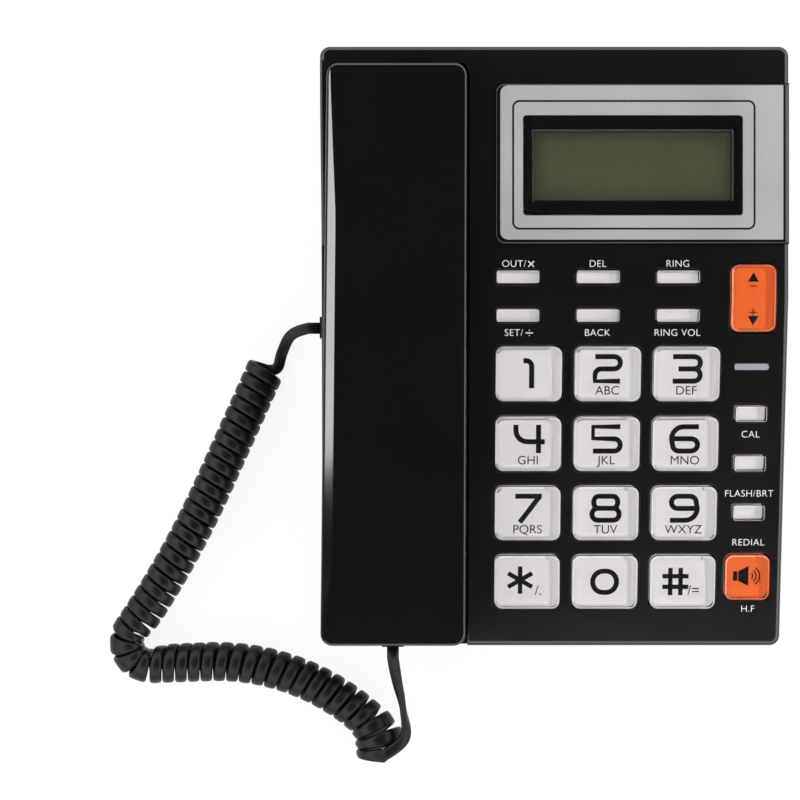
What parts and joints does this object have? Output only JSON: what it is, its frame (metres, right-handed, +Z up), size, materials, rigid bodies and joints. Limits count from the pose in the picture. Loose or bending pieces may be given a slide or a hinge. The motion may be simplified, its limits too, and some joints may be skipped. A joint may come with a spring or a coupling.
{
  "type": "corded telephone",
  "caption": "Desk telephone: sloped black base with display, sprung keypad and volume rocker, and a handset in a side cradle on a curly cord.",
  "frame": {"origin": "centre of the telephone's own box, without the cord, on the table plane under its feet", "axes": "+X to the user's right, +Y from the user to the rear, +Z up"},
  "size_m": [0.24, 0.2472, 0.0605],
  "materials": {
    "base_plastic": "fine textured black ABS",
    "handset_plastic": "satin black ABS",
    "cord_jacket": "flexible black vinyl",
    "clear_key": "clear cap over white",
    "orange_key": "clear cap over orange",
    "silver_plate": "silver paint",
    "window": "dark tinted acrylic",
    "lcd_glass": "grey-green LCD",
    "white_plastic": "white moulding",
    "silicone": "translucent silicone",
    "circuit_board": "green solder mask",
    "screw_steel": "zinc-plated steel",
    "weight_steel": "raw steel",
    "foot_rubber": "black rubber",
    "indicator": "frosted lens",
    "led": "moulded LED",
    "speaker_metal": "black frame",
    "capsule_metal": "metal can",
    "jack_plastic": "black moulding",
    "switch_plastic": "blue moulding",
    "plug_clear": "clear polycarbonate"
  },
  "bodies": {
    "base": {"top_cover": "base_plastic", "bottom_cover": "base_plastic", "rubber_feet": "foot_rubber", "base_screws": "screw_steel", "display_plate": "silver_plate", "display_window": "window", "lcd_panel": "lcd_glass", "lcd_holder": "white_plastic", "key_mat": "silicone", "keypad_board": "circuit_board", "main_board": "circuit_board", "board_screws": "screw_steel", "indicator_lens": "indicator", "indicator_led": "led", "loudspeaker": "speaker_metal", "handsfree_microphone": "capsule_metal", "base_jack": "jack_plastic", "line_jack": "jack_plastic", "hook_spring": "screw_steel", "hook_bracket": "white_plastic", "hook_switch": "switch_plastic", "cord_tail_handset": "cord_jacket", "curly_cord": "cord_jacket", "cord_tail_base": "cord_jacket", "plug_base": "plug_clear"},
    "handset": {"handset_outer_shell": "handset_plastic", "handset_inner_shell": "handset_plastic", "receiver_capsule": "capsule_metal", "microphone_capsule": "capsule_metal", "handset_weight": "weight_steel", "handset_socket": "jack_plastic", "handset_screws": "screw_steel", "plug_handset": "plug_clear"},
    "hook": {"hook_plunger": "base_plastic"},
    "volume_rocker": {"volume_rocker": "orange_key"},
    "key_1": {"key_1": "clear_key"},
    "key_2": {"key_2": "clear_key"},
    "key_3": {"key_3": "clear_key"},
    "key_4": {"key_4": "clear_key"},
    "key_5": {"key_5": "clear_key"},
    "key_6": {"key_6": "clear_key"},
    "key_7": {"key_7": "clear_key"},
    "key_8": {"key_8": "clear_key"},
    "key_9": {"key_9": "clear_key"},
    "key_star": {"key_star": "clear_key"},
    "key_0": {"key_0": "clear_key"},
    "key_hash": {"key_hash": "clear_key"},
    "key_out": {"key_out": "clear_key"},
    "key_delete": {"key_delete": "clear_key"},
    "key_ring": {"key_ring": "clear_key"},
    "key_set": {"key_set": "clear_key"},
    "key_back": {"key_back": "clear_key"},
    "key_ring_volume": {"key_ring_volume": "clear_key"},
    "key_calculator": {"key_calculator": "clear_key"},
    "key_flash": {"key_flash": "clear_key"},
    "key_redial": {"key_redial": "clear_key"},
    "key_handsfree": {"key_handsfree": "orange_key"}
  },
  "joints": [
    {"name": "handset_lift", "type": "slide", "parent": "base", "child": "handset", "axis": [0, -0.1219, 0.9925], "range_m": [0, 0.08]},
    {"name": "hook_travel", "type": "slide", "parent": "base", "child": "hook", "axis": [0, -0.1219, 0.9925], "range_m": [0, 0.004], "deforming": ["hook_spring"]},
    {"name": "volume_tilt", "type": "hinge", "parent": "base", "child": "volume_rocker", "pos_m": [0.0685, 0.01756, 0.04057], "axis": [1, 0, 0], "range_deg": [-4, 4], "stiffness_Nm_per_rad": 0.05, "deforming": ["key_mat"]},
    {"name": "key_1_press", "type": "slide", "parent": "base", "child": "key_1", "axis": [0, 0.1736, -0.9848], "range_m": [0, 0.0015], "stiffness_N_per_m": 400, "deforming": ["key_mat"]},
    {"name": "key_2_press", "type": "slide", "parent": "base", "child": "key_2", "axis": [0, 0.1736, -0.9848], "range_m": [0, 0.0015], "stiffness_N_per_m": 400, "deforming": ["key_mat"]},
    {"name": "key_3_press", "type": "slide", "parent": "base", "child": "key_3", "axis": [0, 0.1736, -0.9848], "range_m": [0, 0.0015], "stiffness_N_per_m": 400, "deforming": ["key_mat"]},
    {"name": "key_4_press", "type": "slide", "parent": "base", "child": "key_4", "axis": [0, 0.1736, -0.9848], "range_m": [0, 0.0015], "stiffness_N_per_m": 400, "deforming": ["key_mat"]},
    {"name": "key_5_press", "type": "slide", "parent": "base", "child": "key_5", "axis": [0, 0.1736, -0.9848], "range_m": [0, 0.0015], "stiffness_N_per_m": 400, "deforming": ["key_mat"]},
    {"name": "key_6_press", "type": "slide", "parent": "base", "child": "key_6", "axis": [0, 0.1736, -0.9848], "range_m": [0, 0.0015], "stiffness_N_per_m": 400, "deforming": ["key_mat"]},
    {"name": "key_7_press", "type": "slide", "parent": "base", "child": "key_7", "axis": [0, 0.1736, -0.9848], "range_m": [0, 0.0015], "stiffness_N_per_m": 400, "deforming": ["key_mat"]},
    {"name": "key_8_press", "type": "slide", "parent": "base", "child": "key_8", "axis": [0, 0.1736, -0.9848], "range_m": [0, 0.0015], "stiffness_N_per_m": 400, "deforming": ["key_mat"]},
    {"name": "key_9_press", "type": "slide", "parent": "base", "child": "key_9", "axis": [0, 0.1736, -0.9848], "range_m": [0, 0.0015], "stiffness_N_per_m": 400, "deforming": ["key_mat"]},
    {"name": "key_star_press", "type": "slide", "parent": "base", "child": "key_star", "axis": [0, 0.1736, -0.9848], "range_m": [0, 0.0015], "stiffness_N_per_m": 400, "deforming": ["key_mat"]},
    {"name": "key_0_press", "type": "slide", "parent": "base", "child": "key_0", "axis": [0, 0.1736, -0.9848], "range_m": [0, 0.0015], "stiffness_N_per_m": 400, "deforming": ["key_mat"]},
    {"name": "key_hash_press", "type": "slide", "parent": "base", "child": "key_hash", "axis": [0, 0.1736, -0.9848], "range_m": [0, 0.0015], "stiffness_N_per_m": 400, "deforming": ["key_mat"]},
    {"name": "key_out_press", "type": "slide", "parent": "base", "child": "key_out", "axis": [0, 0.0523, -0.9986], "range_m": [0, 0.0015], "stiffness_N_per_m": 400, "deforming": ["key_mat"]},
    {"name": "key_delete_press", "type": "slide", "parent": "base", "child": "key_delete", "axis": [0, 0.0523, -0.9986], "range_m": [0, 0.0015], "stiffness_N_per_m": 400, "deforming": ["key_mat"]},
    {"name": "key_ring_press", "type": "slide", "parent": "base", "child": "key_ring", "axis": [0, 0.0523, -0.9986], "range_m": [0, 0.0015], "stiffness_N_per_m": 400, "deforming": ["key_mat"]},
    {"name": "key_set_press", "type": "slide", "parent": "base", "child": "key_set", "axis": [0, 0.1736, -0.9848], "range_m": [0, 0.0015], "stiffness_N_per_m": 400, "deforming": ["key_mat"]},
    {"name": "key_back_press", "type": "slide", "parent": "base", "child": "key_back", "axis": [0, 0.1736, -0.9848], "range_m": [0, 0.0015], "stiffness_N_per_m": 400, "deforming": ["key_mat"]},
    {"name": "key_ring_volume_press", "type": "slide", "parent": "base", "child": "key_ring_volume", "axis": [0, 0.1736, -0.9848], "range_m": [0, 0.0015], "stiffness_N_per_m": 400, "deforming": ["key_mat"]},
    {"name": "key_calculator_press", "type": "slide", "parent": "base", "child": "key_calculator", "axis": [0, 0.1736, -0.9848], "range_m": [0, 0.0015], "stiffness_N_per_m": 400, "deforming": ["key_mat"]},
    {"name": "key_flash_press", "type": "slide", "parent": "base", "child": "key_flash", "axis": [0, 0.1736, -0.9848], "range_m": [0, 0.0015], "stiffness_N_per_m": 400, "deforming": ["key_mat"]},
    {"name": "key_redial_press", "type": "slide", "parent": "base", "child": "key_redial", "axis": [0, 0.1736, -0.9848], "range_m": [0, 0.0015], "stiffness_N_per_m": 400, "deforming": ["key_mat"]},
    {"name": "key_handsfree_press", "type": "slide", "parent": "base", "child": "key_handsfree", "axis": [0, 0.1736, -0.9848], "range_m": [0, 0.0015], "stiffness_N_per_m": 400, "deforming": ["key_mat"]}
  ],
  "couplings": [
    {"joint": "hook_travel", "follows": "handset_lift", "ratio": 0.05}
  ]
}
